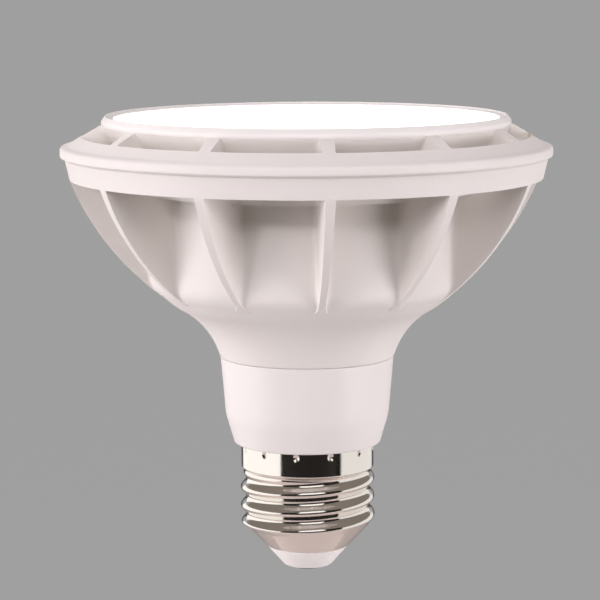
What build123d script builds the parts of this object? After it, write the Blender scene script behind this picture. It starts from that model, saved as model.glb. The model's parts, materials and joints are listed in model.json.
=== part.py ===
import os
from math import sqrt

from build123d import *

os.makedirs("parts", exist_ok=True)

# Screw cap, upwards from the tip of the contact
contact_radius = 2.6
contact_height = 0.4
contact_chamfer = 0.13
stem_radius = 1.2
stem_length = 4.2
nose_reach = 3.3
nose_chamfer = 0.7
insulator_height = 4.6
plug_height = 2.6
cone_reach = 3.9
cone_height = 4.6
cone_step = 0.13
shell_wall = 0.45
thread_pitch = 3.629
thread_depth = 1.05
thread_crest_radius = 13.18
thread_crest_width = 0.9
thread_root_width = 2.3
thread_sink = 0.2
thread_height = 11.3
skirt_inset = 0.16
skirt_height = 4.5

# Moulded collar between cap and casting
collar_lip = 1.4
collar_foot_chamfer = 0.3
collar_spread = 1.58
collar_waist_height = 5.7
collar_waist_round = 9.0
collar_taper = 0.95
collar_height = 17.1
housing_wall = 1.8
spigot_length = 13.2
boss_wall = 1.3
boss_height = 9.5
rail_wall = 1.2
rail_depth = 1.4
rail_height = 11.0

# Heat sink: neck, flare and the wall between the ribs
neck_step = 0.1
neck_wall = 1.2
neck_floor = 2.5
flare_reach = 8.95
flare_height = 10.4
flare_bow = 1.5
shoulder_reach = 4.4
shoulder_height = 3.8
shoulder_round = 2.0
bay_lean = 0.6
bay_height = 18.7
sink_wall = 2.2

# Heat sink: ledge and upper cup
ledge_width = 3.0
ledge_chamfer = 0.5
cup_foot_rise = 1.2
cup_foot_lean = 0.15
cup_spread = 3.4
cup_waist_height = 9.2
cup_bow = 0.46
rim_spread = 2.1
rim_height = 3.2
rim_land = 2.1
seat_wall = 1.8
shelf_thickness = 2.0

# Heat sink: outer ring
window_width = 3.9
band_width = 2.43
band_rise = 2.2
band_height = 4.0
band_lean = 0.91
bead_proud = 0.86
bead_chamfer = 0.4
bead_height = 1.45
bead_crown = 0.3
bead_crown_width = 0.35
bead_fall = 0.35
bead_fall_width = 1.25
flange_height = 1.6

# Heat sink: ribs
rib_count = 12
rib_foot_reach = 2.1
rib_foot_rise = 1.95
rib_end_inset = 0.08
rib_end_lap = 0.3
rib_bow = 2.3
rib_foot_thickness = 1.25
rib_mid_thickness = 1.9
rib_top_thickness = 2.5
spoke_bow = 0.25
spoke_rise = 0.4
spoke_sink = 0.6

# Front ring and lens
lens_inset = 2.45
lens_height = 1.25
lens_flange_width = 1.05
lens_flange_height = 0.8
front_ring_lap = 0.1
front_ring_foot_inset = 0.2
front_ring_wall_rise = 0.6
front_ring_crown_inset = 0.8
front_ring_shoulder_inset = 0.4
front_ring_shoulder_fall = 0.5
front_ring_land = 0.25
front_ring_proud = 0.58

# LED tray
plate_thickness = 2.5
led_board_margin = 3.2
led_board_thickness = 1.6
chip_size = 3.0
chip_height = 0.7
outer_chip_circle = 19.5
outer_chip_count = 12
inner_chip_circle = 11.0
inner_chip_count = 6
tray_screw_margin = 4.0
tray_screw_count = 3
tray_screw_radius = 1.25
tray_screw_head_radius = 2.3
tray_screw_head_height = 1.5
tray_screw_length = 3.6

# Driver
cover_wall = 1.0
cover_flange_thickness = 1.2
cover_gap = 1.0
housing_screw_count = 3
housing_screw_radius = 1.0
housing_screw_head_radius = 1.8
housing_screw_head_height = 1.4
housing_screw_length = 10.0
board_thickness = 1.6
board_setback = 4.0
board_head_gap = 1.5
board_foot_gap = 2.4
component_gap = 1.2
fuse_radius = 1.5
fuse_length = 6.0
inductor_radius = 3.5
inductor_height = 6.0
inductor_waist_radius = 2.4
inductor_flange = 1.2
input_capacitor_radius = 4.0
input_capacitor_height = 9.5
output_capacitor_radius = 4.0
output_capacitor_height = 8.5
capacitor_round = 0.5
core_width = 10.0
core_height = 10.0
core_depth = 4.6
core_leg = 1.8
core_standoff = 2.2
winding_gap = 0.15
winding_side = 1.6
rectifier_width = 5.0
rectifier_height = 4.0
rectifier_depth = 2.2
driver_ic_width = 5.0
driver_ic_height = 4.0
driver_ic_depth = 1.5
lead_radius = 0.6
lead_edge_margin = 2.87
lead_overlap = 3.5
solder_radius = 1.5
solder_height = 0.5
cap_lead_spread = 5.0
shell_lead_bend = 1.5

# Fits
fit_clearance = 0.15
hole_clearance = 0.2
head_clearance = 0.3

# Heights above the tip of the contact
z_nose = contact_height
z_mouth = z_nose + insulator_height
z_thread = z_mouth + cone_height
z_skirt = z_thread + thread_height
z_collar = z_skirt + skirt_height
z_sink = z_collar + collar_height
z_floor = z_sink + neck_floor
z_flare = z_sink + flare_height
z_shoulder = z_flare + shoulder_height
z_ledge = z_shoulder + bay_height
z_shelf = z_ledge + shelf_thickness
z_waist = z_ledge + cup_waist_height
z_rim = z_waist + rim_height
z_tray = z_shelf + plate_thickness
z_chips = z_tray + led_board_thickness

z_band_foot = z_ledge + band_rise
z_band_top = z_band_foot + band_height
z_bead_low = z_band_top + bead_chamfer
z_bead_high = z_bead_low + bead_height
z_bead_top = z_bead_high + bead_crown
z_flange = z_bead_top + bead_fall
z_flange_top = z_flange + flange_height

# Radii of the cap and the collar
thread_root_radius = thread_crest_radius - thread_depth
skirt_radius = thread_crest_radius - skirt_inset
cone_top_radius = thread_root_radius - cone_step
mouth_radius = cone_top_radius - cone_reach
nose_radius = mouth_radius - nose_reach
collar_foot_radius = skirt_radius + collar_lip
collar_waist_radius = collar_foot_radius + collar_spread
collar_top_radius = collar_waist_radius + collar_taper

# Radii of the casting, outwards from the neck
neck_radius = collar_top_radius + neck_step
flare_radius = neck_radius + flare_reach
shoulder_radius = flare_radius + shoulder_reach
bay_top_radius = shoulder_radius + bay_lean
ledge_radius = bay_top_radius + ledge_width
cup_waist_radius = ledge_radius + cup_spread
rim_radius = cup_waist_radius + rim_spread
ring_inner_radius = rim_radius + window_width
band_foot_radius = ring_inner_radius + band_width
band_top_radius = band_foot_radius + band_lean
bead_radius = band_top_radius + bead_proud
bead_top_radius = bead_radius - bead_crown_width
flange_radius = bead_top_radius - bead_fall_width
rib_foot_radius = flare_radius + rib_foot_reach
rib_end_radius = band_foot_radius - rib_end_inset

# Radii of the front
lens_radius = rim_radius - lens_inset
front_ring_radius = rim_radius + front_ring_lap
front_ring_crown_radius = front_ring_radius - front_ring_crown_inset
front_ring_shoulder_radius = front_ring_radius - front_ring_shoulder_inset

# Fits that follow from the casting and the cap
thread_bore_radius = thread_root_radius - shell_wall
z_skirt_bore = z_skirt + shell_wall
skirt_bore_radius = skirt_radius - shell_wall
spigot_radius = thread_bore_radius - fit_clearance
spigot_top_radius = skirt_bore_radius - fit_clearance
spigot_bore_radius = spigot_radius - housing_wall
z_spigot = z_collar - spigot_length
z_housing_floor = z_collar + housing_wall
cavity_foot_radius = neck_radius - neck_wall
cavity_top_radius = bay_top_radius - sink_wall
spoke_radius = front_ring_radius + hole_clearance
seat_radius = ledge_radius - seat_wall
led_board_radius = seat_radius - led_board_margin
tray_screw_circle = led_board_radius - tray_screw_margin
cover_flange_radius = cavity_foot_radius - head_clearance
housing_screw_circle = cover_flange_radius - housing_screw_head_radius - head_clearance
cover_radius = housing_screw_circle - housing_screw_head_radius - head_clearance
cover_bore_radius = cover_radius - cover_wall
board_back = -board_setback - board_thickness / 2
board_front = -board_setback + board_thickness / 2
board_half_width = sqrt(cover_bore_radius**2 - board_back**2) - head_clearance
lead_spread = board_half_width - lead_edge_margin
neck_hole_radius = cover_bore_radius
z_board = z_housing_floor + rail_wall
z_cover_top = z_shelf - cover_gap
z_board_top = z_cover_top - cover_wall - board_head_gap

# Places up the driver board
z_fuse = z_board + board_foot_gap + fuse_radius
z_inductor = z_fuse + fuse_radius + component_gap + inductor_radius
z_input_capacitor = z_inductor + inductor_radius + component_gap + input_capacitor_radius
z_core = z_input_capacitor + input_capacitor_radius + component_gap + core_height / 2
z_output_capacitor = z_core + core_height / 2 + component_gap + output_capacitor_radius
lead_y = board_front + lead_radius

# Contact rivet in the tip of the insulator
with BuildPart() as centre_contact:
    Cylinder(contact_radius, contact_height, align=(Align.CENTER, Align.CENTER, Align.MIN))
    Cylinder(stem_radius, contact_height + stem_length, align=(Align.CENTER, Align.CENTER, Align.MIN))
    chamfer(centre_contact.edges().sort_by(Axis.Z)[0], contact_chamfer)
centre_contact.part.label = "centre_contact"
export_step(centre_contact.part, "parts/centre_contact.step")

# Insulating cone that carries the contact and plugs the mouth of the shell
plug_radius = mouth_radius - shell_wall - fit_clearance
with BuildPart() as base_insulator:
    with BuildSketch(Plane.XZ):
        with BuildLine():
            Polyline(
                (stem_radius + fit_clearance, z_nose),
                (nose_radius - nose_chamfer, z_nose),
                (nose_radius, z_nose + nose_chamfer),
                (mouth_radius, z_mouth),
                (plug_radius, z_mouth),
                (plug_radius, z_mouth + plug_height),
                (stem_radius + fit_clearance, z_mouth + plug_height),
                close=True,
            )
        make_face()
    revolve(axis=Axis.Z)
base_insulator.part.label = "base_insulator"
export_step(base_insulator.part, "parts/base_insulator.step")

# Screw shell: rolled thread between a cone and a plain skirt
z_ridge = z_thread + thread_root_width / 2
ridge_height = thread_crest_radius - thread_root_radius
with BuildPart() as thread_ridge:
    with BuildLine():
        Helix(thread_pitch, thread_height - thread_root_width, thread_root_radius, center=(0, 0, z_ridge))
    ridge_start = Plane(origin=(thread_root_radius, 0, z_ridge), x_dir=(1, 0, 0), z_dir=(0, -1, 0))
    with BuildSketch(ridge_start):
        with BuildLine():
            Polyline(
                (-thread_sink, -thread_root_width / 2),
                (ridge_height, -thread_crest_width / 2),
                (ridge_height, thread_crest_width / 2),
                (-thread_sink, thread_root_width / 2),
                close=True,
            )
        make_face()
    sweep(is_frenet=True)

with BuildPart() as screw_shell:
    with BuildSketch(Plane.XZ):
        with BuildLine():
            Polyline(
                (0, z_mouth),
                (mouth_radius, z_mouth),
                (cone_top_radius, z_thread),
                (thread_root_radius, z_thread),
                (thread_root_radius, z_skirt),
                (skirt_radius, z_skirt),
                (skirt_radius, z_collar),
                (0, z_collar),
                close=True,
            )
        make_face()
    revolve(axis=Axis.Z)
    add(thread_ridge.part)
    with BuildSketch(Plane.XZ):
        with BuildLine():
            Polyline(
                (0, z_mouth),
                (mouth_radius - shell_wall, z_mouth),
                (cone_top_radius - shell_wall, z_thread),
                (thread_bore_radius, z_thread),
                (thread_bore_radius, z_skirt_bore),
                (skirt_bore_radius, z_skirt_bore),
                (skirt_bore_radius, z_collar),
                (0, z_collar),
                close=True,
            )
        make_face()
    revolve(axis=Axis.Z, mode=Mode.SUBTRACT)
screw_shell.part.label = "screw_shell"
export_step(screw_shell.part, "parts/screw_shell.step")

# Collar with the spigot for the shell, screw bosses and rails for the driver board
z_collar_waist = z_collar + collar_waist_height
with BuildPart() as driver_housing:
    with BuildSketch(Plane.XZ):
        with BuildLine():
            FilletPolyline(
                (spigot_bore_radius, z_spigot),
                (spigot_radius, z_spigot),
                (spigot_radius, z_skirt_bore + fit_clearance),
                (spigot_top_radius, z_skirt_bore + fit_clearance),
                (spigot_top_radius, z_collar),
                (collar_foot_radius - collar_foot_chamfer, z_collar),
                (collar_foot_radius, z_collar + collar_foot_chamfer),
                (collar_waist_radius, z_collar_waist),
                (collar_top_radius, z_sink),
                (collar_top_radius - housing_wall, z_sink),
                (collar_waist_radius - housing_wall, z_collar_waist),
                (collar_foot_radius - housing_wall, z_housing_floor),
                (spigot_bore_radius, z_housing_floor),
                radius=(0, 0, 0, 0, 0, 0, 0, collar_waist_round, 0, 0, 0, 0, 0),
                close=True,
            )
        make_face()
    revolve(axis=Axis.Z)
    with BuildSketch(Plane.XY.offset(z_sink)):
        with PolarLocations(housing_screw_circle, housing_screw_count, start_angle=90):
            Circle(housing_screw_radius + boss_wall)
    extrude(amount=-boss_height)
    with BuildSketch(Plane.XY.offset(z_sink)):
        with PolarLocations(housing_screw_circle, housing_screw_count, start_angle=90):
            Circle(housing_screw_radius)
    extrude(amount=-boss_height, mode=Mode.SUBTRACT)
    rail_reach = board_half_width + rail_wall
    rail_gap = board_half_width - rail_depth
    rail_width = board_thickness + 2 * rail_wall
    with BuildSketch(Plane.XY.offset(z_housing_floor)):
        with Locations((0, -board_setback)):
            Rectangle(2 * rail_reach, rail_width)
            Rectangle(2 * rail_gap, rail_width, mode=Mode.SUBTRACT)
    extrude(amount=rail_height)
    with BuildSketch(Plane.XY.offset(z_board)):
        with Locations((0, -board_setback)):
            Rectangle(2 * (board_half_width + fit_clearance), board_thickness + 2 * fit_clearance)
    extrude(amount=rail_height, mode=Mode.SUBTRACT)
driver_housing.part.label = "driver_housing"
export_step(driver_housing.part, "parts/driver_housing.step")

# One rib of the casting: a drafted plate, from the shoulder to the outer ring and over the window to the rim
with BuildPart() as rib:
    with BuildSketch(Plane.XZ):
        with BuildLine():
            foot = (rib_foot_radius, z_flare + rib_foot_rise)
            band = (rib_end_radius, z_band_foot + rib_end_lap)
            flange = ((ring_inner_radius + flange_radius) / 2, z_flange)
            spoke_low = (ring_inner_radius + spoke_sink, z_flange_top - spoke_sink)
            spoke_high = (spoke_radius, z_rim + spoke_rise)
            SagittaArc(foot, band, -rib_bow)
            Polyline(band, flange, spoke_low)
            SagittaArc(spoke_low, spoke_high, spoke_bow)
            Polyline(
                spoke_high,
                (spoke_radius, z_rim - spoke_sink),
                (seat_radius, z_rim - spoke_sink),
                (seat_radius, z_shelf),
                (cavity_foot_radius, z_flare),
                foot,
            )
        make_face()
    extrude(amount=rib_top_thickness, both=True)
    with BuildSketch(Plane.YZ):
        with BuildLine():
            Polyline(
                (rib_foot_thickness / 2, z_flare),
                (rib_mid_thickness / 2, z_band_foot),
                (rib_top_thickness / 2, z_rim + spoke_rise),
                (-rib_top_thickness / 2, z_rim + spoke_rise),
                (-rib_mid_thickness / 2, z_band_foot),
                (-rib_foot_thickness / 2, z_flare),
                close=True,
            )
        make_face()
    extrude(amount=bead_radius, mode=Mode.INTERSECT)

# Heat sink: one casting, with core, ribs and outer ring
with BuildPart() as heat_sink:
    with BuildSketch(Plane.XZ):
        with BuildLine():
            cup_foot = (ledge_radius + cup_foot_lean, z_ledge + cup_foot_rise)
            SagittaArc((neck_radius, z_sink), (flare_radius, z_flare), flare_bow)
            FilletPolyline(
                (flare_radius, z_flare),
                (shoulder_radius, z_shoulder),
                (bay_top_radius, z_ledge),
                (ledge_radius - ledge_chamfer, z_ledge),
                (ledge_radius, z_ledge + ledge_chamfer),
                cup_foot,
                radius=(shoulder_round, 0, 0, 0),
            )
            SagittaArc(cup_foot, (cup_waist_radius, z_waist), cup_bow)
            Polyline(
                (cup_waist_radius, z_waist),
                (rim_radius, z_rim),
                (0, z_rim),
                (0, z_sink),
                (neck_radius, z_sink),
            )
        make_face()
    revolve(axis=Axis.Z)
    with BuildSketch(Plane.XZ):
        with BuildLine():
            Polyline(
                (ring_inner_radius, z_band_foot),
                (band_foot_radius, z_band_foot),
                (band_top_radius, z_band_top),
                (bead_radius, z_bead_low),
                (bead_radius, z_bead_high),
                (bead_top_radius, z_bead_top),
                (flange_radius, z_flange),
                (ring_inner_radius, z_flange_top),
                close=True,
            )
        make_face()
    revolve(axis=Axis.Z)
    with PolarLocations(0, rib_count):
        add(rib.part)
    with BuildSketch(Plane.XZ):
        with BuildLine():
            cavity_foot = (cavity_foot_radius, z_floor)
            cavity_flare = (flare_radius - sink_wall / 2, z_flare + sink_wall)
            cavity_bend_radius = (cavity_foot_radius + cavity_flare[0]) / 2 - flare_bow / 2
            cavity_bend = (cavity_bend_radius, (z_floor + cavity_flare[1]) / 2 + flare_bow / 2)
            Polyline(
                cavity_foot,
                cavity_bend,
                cavity_flare,
                (shoulder_radius - sink_wall, z_shoulder + sink_wall),
                (cavity_top_radius, z_shelf),
                (seat_radius, z_shelf),
                (seat_radius, z_tray),
                (cup_waist_radius - rim_land, z_waist),
                (rim_radius - rim_land, z_rim),
                (0, z_rim),
                (0, z_sink),
                (neck_hole_radius, z_sink),
                (neck_hole_radius, z_floor),
                cavity_foot,
            )
        make_face()
    revolve(axis=Axis.Z, mode=Mode.SUBTRACT)
    with BuildSketch(Plane.XY.offset(z_sink)):
        with PolarLocations(housing_screw_circle, housing_screw_count, start_angle=90):
            Circle(housing_screw_radius + hole_clearance)
    extrude(amount=neck_floor, mode=Mode.SUBTRACT)
heat_sink.part.label = "heat_sink"
export_step(heat_sink.part, "parts/heat_sink.step")

# Lens disc with a flange that rests on the rim of the cup
lens_flange_radius = lens_radius + lens_flange_width
with BuildPart() as diffuser:
    with BuildSketch(Plane.XY.offset(z_rim)):
        Circle(lens_flange_radius)
    extrude(amount=lens_flange_height)
    with BuildSketch(Plane.XY.offset(z_rim + lens_flange_height)):
        Circle(lens_radius)
    extrude(amount=lens_height - lens_flange_height)
diffuser.part.label = "diffuser"
export_step(diffuser.part, "parts/diffuser.step")

# Ring on the rim that holds the lens down by its flange
z_lens = z_rim + lens_height
z_crown = z_lens + front_ring_proud
with BuildPart() as front_ring:
    with BuildSketch(Plane.XZ):
        with BuildLine():
            Polyline(
                (lens_flange_radius + hole_clearance, z_rim),
                (front_ring_radius - front_ring_foot_inset, z_rim),
                (front_ring_radius, z_rim + front_ring_wall_rise),
                (front_ring_shoulder_radius, z_crown - front_ring_shoulder_fall),
                (front_ring_crown_radius, z_crown),
                (front_ring_crown_radius - front_ring_land, z_crown),
                (lens_radius + hole_clearance, z_lens),
                (lens_radius + hole_clearance, z_rim + lens_flange_height + fit_clearance),
                (lens_flange_radius + hole_clearance, z_rim + lens_flange_height + fit_clearance),
                close=True,
            )
        make_face()
    revolve(axis=Axis.Z)
front_ring.part.label = "front_ring"
export_step(front_ring.part, "parts/front_ring.step")

# Plate pressed into the cup, with ways for the two leads and threads for the tray screws
with BuildPart() as mounting_plate:
    with BuildSketch(Plane.XY.offset(z_shelf)):
        Circle(seat_radius - fit_clearance)
        with Locations((-lead_spread, lead_y), (lead_spread, lead_y)):
            Circle(lead_radius + hole_clearance, mode=Mode.SUBTRACT)
        with PolarLocations(tray_screw_circle, tray_screw_count, start_angle=90):
            Circle(tray_screw_radius, mode=Mode.SUBTRACT)
    extrude(amount=plate_thickness)
mounting_plate.part.label = "mounting_plate"
export_step(mounting_plate.part, "parts/mounting_plate.step")

# Metal-core board with its chips and screws
with BuildPart() as led_board:
    with BuildSketch(Plane.XY.offset(z_tray)):
        Circle(led_board_radius)
        with Locations((-lead_spread, lead_y), (lead_spread, lead_y)):
            Circle(lead_radius + hole_clearance, mode=Mode.SUBTRACT)
        with PolarLocations(tray_screw_circle, tray_screw_count, start_angle=90):
            Circle(tray_screw_radius + hole_clearance, mode=Mode.SUBTRACT)
    extrude(amount=led_board_thickness)
led_board.part.label = "led_board"
export_step(led_board.part, "parts/led_board.step")

with BuildPart() as led_chips:
    for row_radius, row_count in (
        (outer_chip_circle, outer_chip_count),
        (inner_chip_circle, inner_chip_count),
    ):
        with BuildSketch(Plane.XY.offset(z_chips)):
            with PolarLocations(row_radius, row_count, start_angle=180 / row_count):
                Rectangle(chip_size, chip_size)
        extrude(amount=chip_height)
led_chips.part.label = "led_chips"
export_step(led_chips.part, "parts/led_chips.step")

with BuildPart() as led_board_screws:
    with BuildSketch(Plane.XY.offset(z_chips)):
        with PolarLocations(tray_screw_circle, tray_screw_count, start_angle=90):
            Circle(tray_screw_head_radius)
    extrude(amount=tray_screw_head_height)
    with BuildSketch(Plane.XY.offset(z_chips)):
        with PolarLocations(tray_screw_circle, tray_screw_count, start_angle=90):
            Circle(tray_screw_radius)
    extrude(amount=-tray_screw_length)
led_board_screws.part.label = "led_board_screws"
export_step(led_board_screws.part, "parts/led_board_screws.step")

# Insulating cap over the driver board, flanged for the housing screws
with BuildPart() as driver_cover:
    with BuildSketch(Plane.XY.offset(z_floor)):
        Circle(cover_flange_radius)
        with PolarLocations(housing_screw_circle, housing_screw_count, start_angle=90):
            Circle(housing_screw_radius + hole_clearance, mode=Mode.SUBTRACT)
    extrude(amount=cover_flange_thickness)
    with BuildSketch(Plane.XY.offset(z_floor)):
        Circle(cover_radius)
    extrude(amount=z_cover_top - z_floor)
    with BuildSketch(Plane.XY.offset(z_floor)):
        Circle(cover_bore_radius)
    extrude(amount=z_cover_top - cover_wall - z_floor, mode=Mode.SUBTRACT)
    with BuildSketch(Plane.XY.offset(z_cover_top)):
        with Locations((-lead_spread, lead_y), (lead_spread, lead_y)):
            Circle(lead_radius + hole_clearance)
    extrude(amount=-cover_wall, mode=Mode.SUBTRACT)
driver_cover.part.label = "driver_cover"
export_step(driver_cover.part, "parts/driver_cover.step")

with BuildPart() as housing_screws:
    with BuildSketch(Plane.XY.offset(z_floor + cover_flange_thickness)):
        with PolarLocations(housing_screw_circle, housing_screw_count, start_angle=90):
            Circle(housing_screw_head_radius)
    extrude(amount=housing_screw_head_height)
    with BuildSketch(Plane.XY.offset(z_floor + cover_flange_thickness)):
        with PolarLocations(housing_screw_circle, housing_screw_count, start_angle=90):
            Circle(housing_screw_radius)
    extrude(amount=-housing_screw_length)
housing_screws.part.label = "housing_screws"
export_step(housing_screws.part, "parts/housing_screws.step")

# Upright driver board in its rails
with BuildPart() as driver_board:
    with BuildSketch(Plane.XY.offset(z_board)):
        with Locations((0, -board_setback)):
            Rectangle(2 * board_half_width, board_thickness)
    extrude(amount=z_board_top - z_board)
driver_board.part.label = "driver_board"
export_step(driver_board.part, "parts/driver_board.step")

# Parts on the front of the board, which faces +Y, upwards
board_face = Plane(origin=(0, board_front, 0), x_dir=(-1, 0, 0), z_dir=(0, 1, 0))

with BuildPart() as fuse_resistor:
    with BuildSketch(Plane.YZ):
        with Locations((board_front + fuse_radius, z_fuse)):
            Circle(fuse_radius)
    extrude(amount=fuse_length / 2, both=True)
fuse_resistor.part.label = "fuse_resistor"
export_step(fuse_resistor.part, "parts/fuse_resistor.step")

with BuildPart() as filter_inductor:
    with BuildSketch(Plane.XY):
        with BuildLine():
            Polyline(
                (0, board_front),
                (inductor_radius, board_front),
                (inductor_radius, board_front + inductor_flange),
                (inductor_waist_radius, board_front + inductor_flange),
                (inductor_waist_radius, board_front + inductor_height - inductor_flange),
                (inductor_radius, board_front + inductor_height - inductor_flange),
                (inductor_radius, board_front + inductor_height),
                (0, board_front + inductor_height),
                close=True,
            )
        make_face()
    revolve(axis=Axis.Y)
filter_inductor.part.position = (0, 0, z_inductor)
filter_inductor.part.label = "filter_inductor"
export_step(filter_inductor.part, "parts/filter_inductor.step")

with BuildPart() as input_capacitor:
    with BuildSketch(board_face):
        with Locations((0, z_input_capacitor)):
            Circle(input_capacitor_radius)
    extrude(amount=input_capacitor_height)
    chamfer(input_capacitor.edges().sort_by(Axis.Y)[-1], capacitor_round)
input_capacitor.part.label = "input_capacitor"
export_step(input_capacitor.part, "parts/input_capacitor.step")

with BuildPart() as output_capacitor:
    with BuildSketch(board_face):
        with Locations((0, z_output_capacitor)):
            Circle(output_capacitor_radius)
    extrude(amount=output_capacitor_height)
    chamfer(output_capacitor.edges().sort_by(Axis.Y)[-1], capacitor_round)
output_capacitor.part.label = "output_capacitor"
export_step(output_capacitor.part, "parts/output_capacitor.step")

# Transformer: a core with three legs, and a winding round the middle one that stands on the board
core_window = (core_height - 2 * core_leg) / 2 - core_leg / 2
window_offset = (core_leg + core_window) / 2
with BuildPart() as transformer_core:
    with BuildSketch(board_face.offset(core_standoff)):
        with Locations((0, z_core)):
            Rectangle(core_width, core_height)
        with Locations((0, z_core - window_offset), (0, z_core + window_offset)):
            Rectangle(core_width - 2 * core_leg, core_window, mode=Mode.SUBTRACT)
    extrude(amount=core_depth)
transformer_core.part.label = "transformer_core"
export_step(transformer_core.part, "parts/transformer_core.step")

with BuildPart() as transformer_winding:
    winding_length = core_width - 2 * core_leg - 2 * winding_gap
    with BuildSketch(Plane.YZ):
        with Locations((board_front + core_standoff + core_depth / 2, z_core)):
            Rectangle(core_depth + 2 * core_standoff, core_leg + 2 * winding_side)
            Rectangle(core_depth + 2 * winding_gap, core_leg + 2 * winding_gap, mode=Mode.SUBTRACT)
    extrude(amount=winding_length / 2, both=True)
transformer_winding.part.label = "transformer_winding"
export_step(transformer_winding.part, "parts/transformer_winding.step")

# Chips on the back of the board
board_rear = Plane(origin=(0, board_back, 0), x_dir=(1, 0, 0), z_dir=(0, -1, 0))

with BuildPart() as bridge_rectifier:
    with BuildSketch(board_rear):
        with Locations((0, z_inductor)):
            Rectangle(rectifier_width, rectifier_height)
    extrude(amount=rectifier_depth)
bridge_rectifier.part.label = "bridge_rectifier"
export_step(bridge_rectifier.part, "parts/bridge_rectifier.step")

with BuildPart() as driver_ic:
    with BuildSketch(board_rear):
        with Locations((0, z_core)):
            Rectangle(driver_ic_width, driver_ic_height)
    extrude(amount=driver_ic_depth)
driver_ic.part.label = "driver_ic"
export_step(driver_ic.part, "parts/driver_ic.step")

# Straight leads from the head of the driver board to solder pads on the LED board
for name, side in (("positive_lead", 1), ("negative_lead", -1)):
    with BuildPart() as lead:
        with BuildSketch(Plane.XY.offset(z_board_top - lead_overlap)):
            with Locations((side * lead_spread, lead_y)):
                Circle(lead_radius)
        extrude(amount=z_chips + solder_height - (z_board_top - lead_overlap))
        with BuildSketch(Plane.XY.offset(z_chips)):
            with Locations((side * lead_spread, lead_y)):
                Circle(solder_radius)
        extrude(amount=solder_height)
    lead.part.label = name
    export_step(lead.part, f"parts/{name}.step")

# Lead from the foot of the board to the contact rivet
z_lead_top = z_board + lead_overlap
z_stem = contact_height + stem_length
with BuildPart() as contact_lead:
    with BuildLine() as contact_route:
        Line((-cap_lead_spread, lead_y, z_lead_top), (0, 0, z_stem + fit_clearance))
    with BuildSketch(Plane(origin=contact_route.line @ 0, z_dir=contact_route.line % 0)):
        Circle(lead_radius)
    sweep()
contact_lead.part.label = "contact_lead"
export_step(contact_lead.part, "parts/contact_lead.step")

# Lead from the foot of the board, past the end of the spigot, to the wall of the shell
with BuildPart() as shell_lead:
    with BuildLine() as shell_route:
        FilletPolyline(
            (cap_lead_spread, lead_y, z_lead_top),
            (spigot_bore_radius - 2 * lead_radius, 0, z_spigot),
            (thread_bore_radius - lead_radius, 0, z_thread + lead_radius),
            radius=shell_lead_bend,
        )
    with BuildSketch(Plane(origin=shell_route.line @ 0, z_dir=shell_route.line % 0)):
        Circle(lead_radius)
    sweep()
shell_lead.part.label = "shell_lead"
export_step(shell_lead.part, "parts/shell_lead.step")
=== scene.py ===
import json
from math import acos, asin, atan2, cos, degrees, hypot, pi, radians, sin, tan

import bmesh
import bpy
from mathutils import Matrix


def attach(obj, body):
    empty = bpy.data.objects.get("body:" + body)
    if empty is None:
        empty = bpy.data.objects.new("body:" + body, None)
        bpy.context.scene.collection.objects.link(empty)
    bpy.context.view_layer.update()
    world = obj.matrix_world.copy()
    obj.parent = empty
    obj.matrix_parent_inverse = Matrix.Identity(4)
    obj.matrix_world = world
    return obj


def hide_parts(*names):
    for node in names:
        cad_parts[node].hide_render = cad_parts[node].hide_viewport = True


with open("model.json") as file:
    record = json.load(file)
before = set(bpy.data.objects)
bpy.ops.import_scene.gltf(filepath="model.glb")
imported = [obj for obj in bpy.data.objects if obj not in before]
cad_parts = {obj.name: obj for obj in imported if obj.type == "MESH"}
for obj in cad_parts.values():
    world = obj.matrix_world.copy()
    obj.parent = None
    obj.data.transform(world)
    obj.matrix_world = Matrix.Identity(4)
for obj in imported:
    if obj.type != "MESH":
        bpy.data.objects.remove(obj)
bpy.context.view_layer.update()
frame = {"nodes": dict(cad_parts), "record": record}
mm = 0.001
weld = 0.002 * mm  # vertices nearer than this are one
print("frame loaded:", len(frame["nodes"]), "nodes")


# Hand tools

def leaveEdit():
    if bpy.context.mode != "OBJECT":
        bpy.ops.object.mode_set(mode="OBJECT")
    bpy.ops.object.select_all(action="DESELECT")


def editMesh(piece):
    # held in a name for as long as its vertices are in use
    return bmesh.from_edit_mesh(piece.data)


def angleOf(point):
    return degrees(atan2(point.y, point.x))


def sectionOf(point):
    # radius and height in mm
    return point.xy.length / mm, point.z / mm


def selectVerts(piece, verts):
    bpy.ops.mesh.select_mode(type="VERT")
    bpy.ops.mesh.select_all(action="DESELECT")
    for vert in verts:
        vert.select = True
    editMesh(piece).select_flush(True)
    bmesh.update_edit_mesh(piece.data, loop_triangles=False, destructive=False)


def selectFaces(piece, rule):
    bpy.ops.mesh.select_mode(type="FACE")
    bpy.ops.mesh.select_all(action="DESELECT")
    for face in editMesh(piece).faces:
        if rule(face):
            face.select_set(True)
    bmesh.update_edit_mesh(piece.data, loop_triangles=False, destructive=False)


def turn(angle):
    # counter-clockwise about the lamp's axis; the operator itself turns the other way here
    bpy.ops.transform.rotate(value=-radians(angle), orient_axis="Z", center_override=(0, 0, 0))


def bow(start, end, sag, steps):
    # points on an arc that bulges by sag to the left of start to end
    (x0, z0), (x1, z1) = start, end
    half = hypot(x1 - x0, z1 - z0) / 2
    radius = (half**2 + sag**2) / (2 * abs(sag))
    spread = asin(half / radius)
    ux, uz = (x1 - x0) / (2 * half), (z1 - z0) / (2 * half)
    side = 1 if sag > 0 else -1
    points = []
    for step in range(steps + 1):
        swing = spread * (2 * step / steps - 1)
        along = radius * sin(swing)
        rise = radius * (cos(swing) - cos(spread)) * side
        x = (x0 + x1) / 2 + ux * along - uz * rise
        z = (z0 + z1) / 2 + uz * along + ux * rise
        points.append((x, z))
    return points


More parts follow.
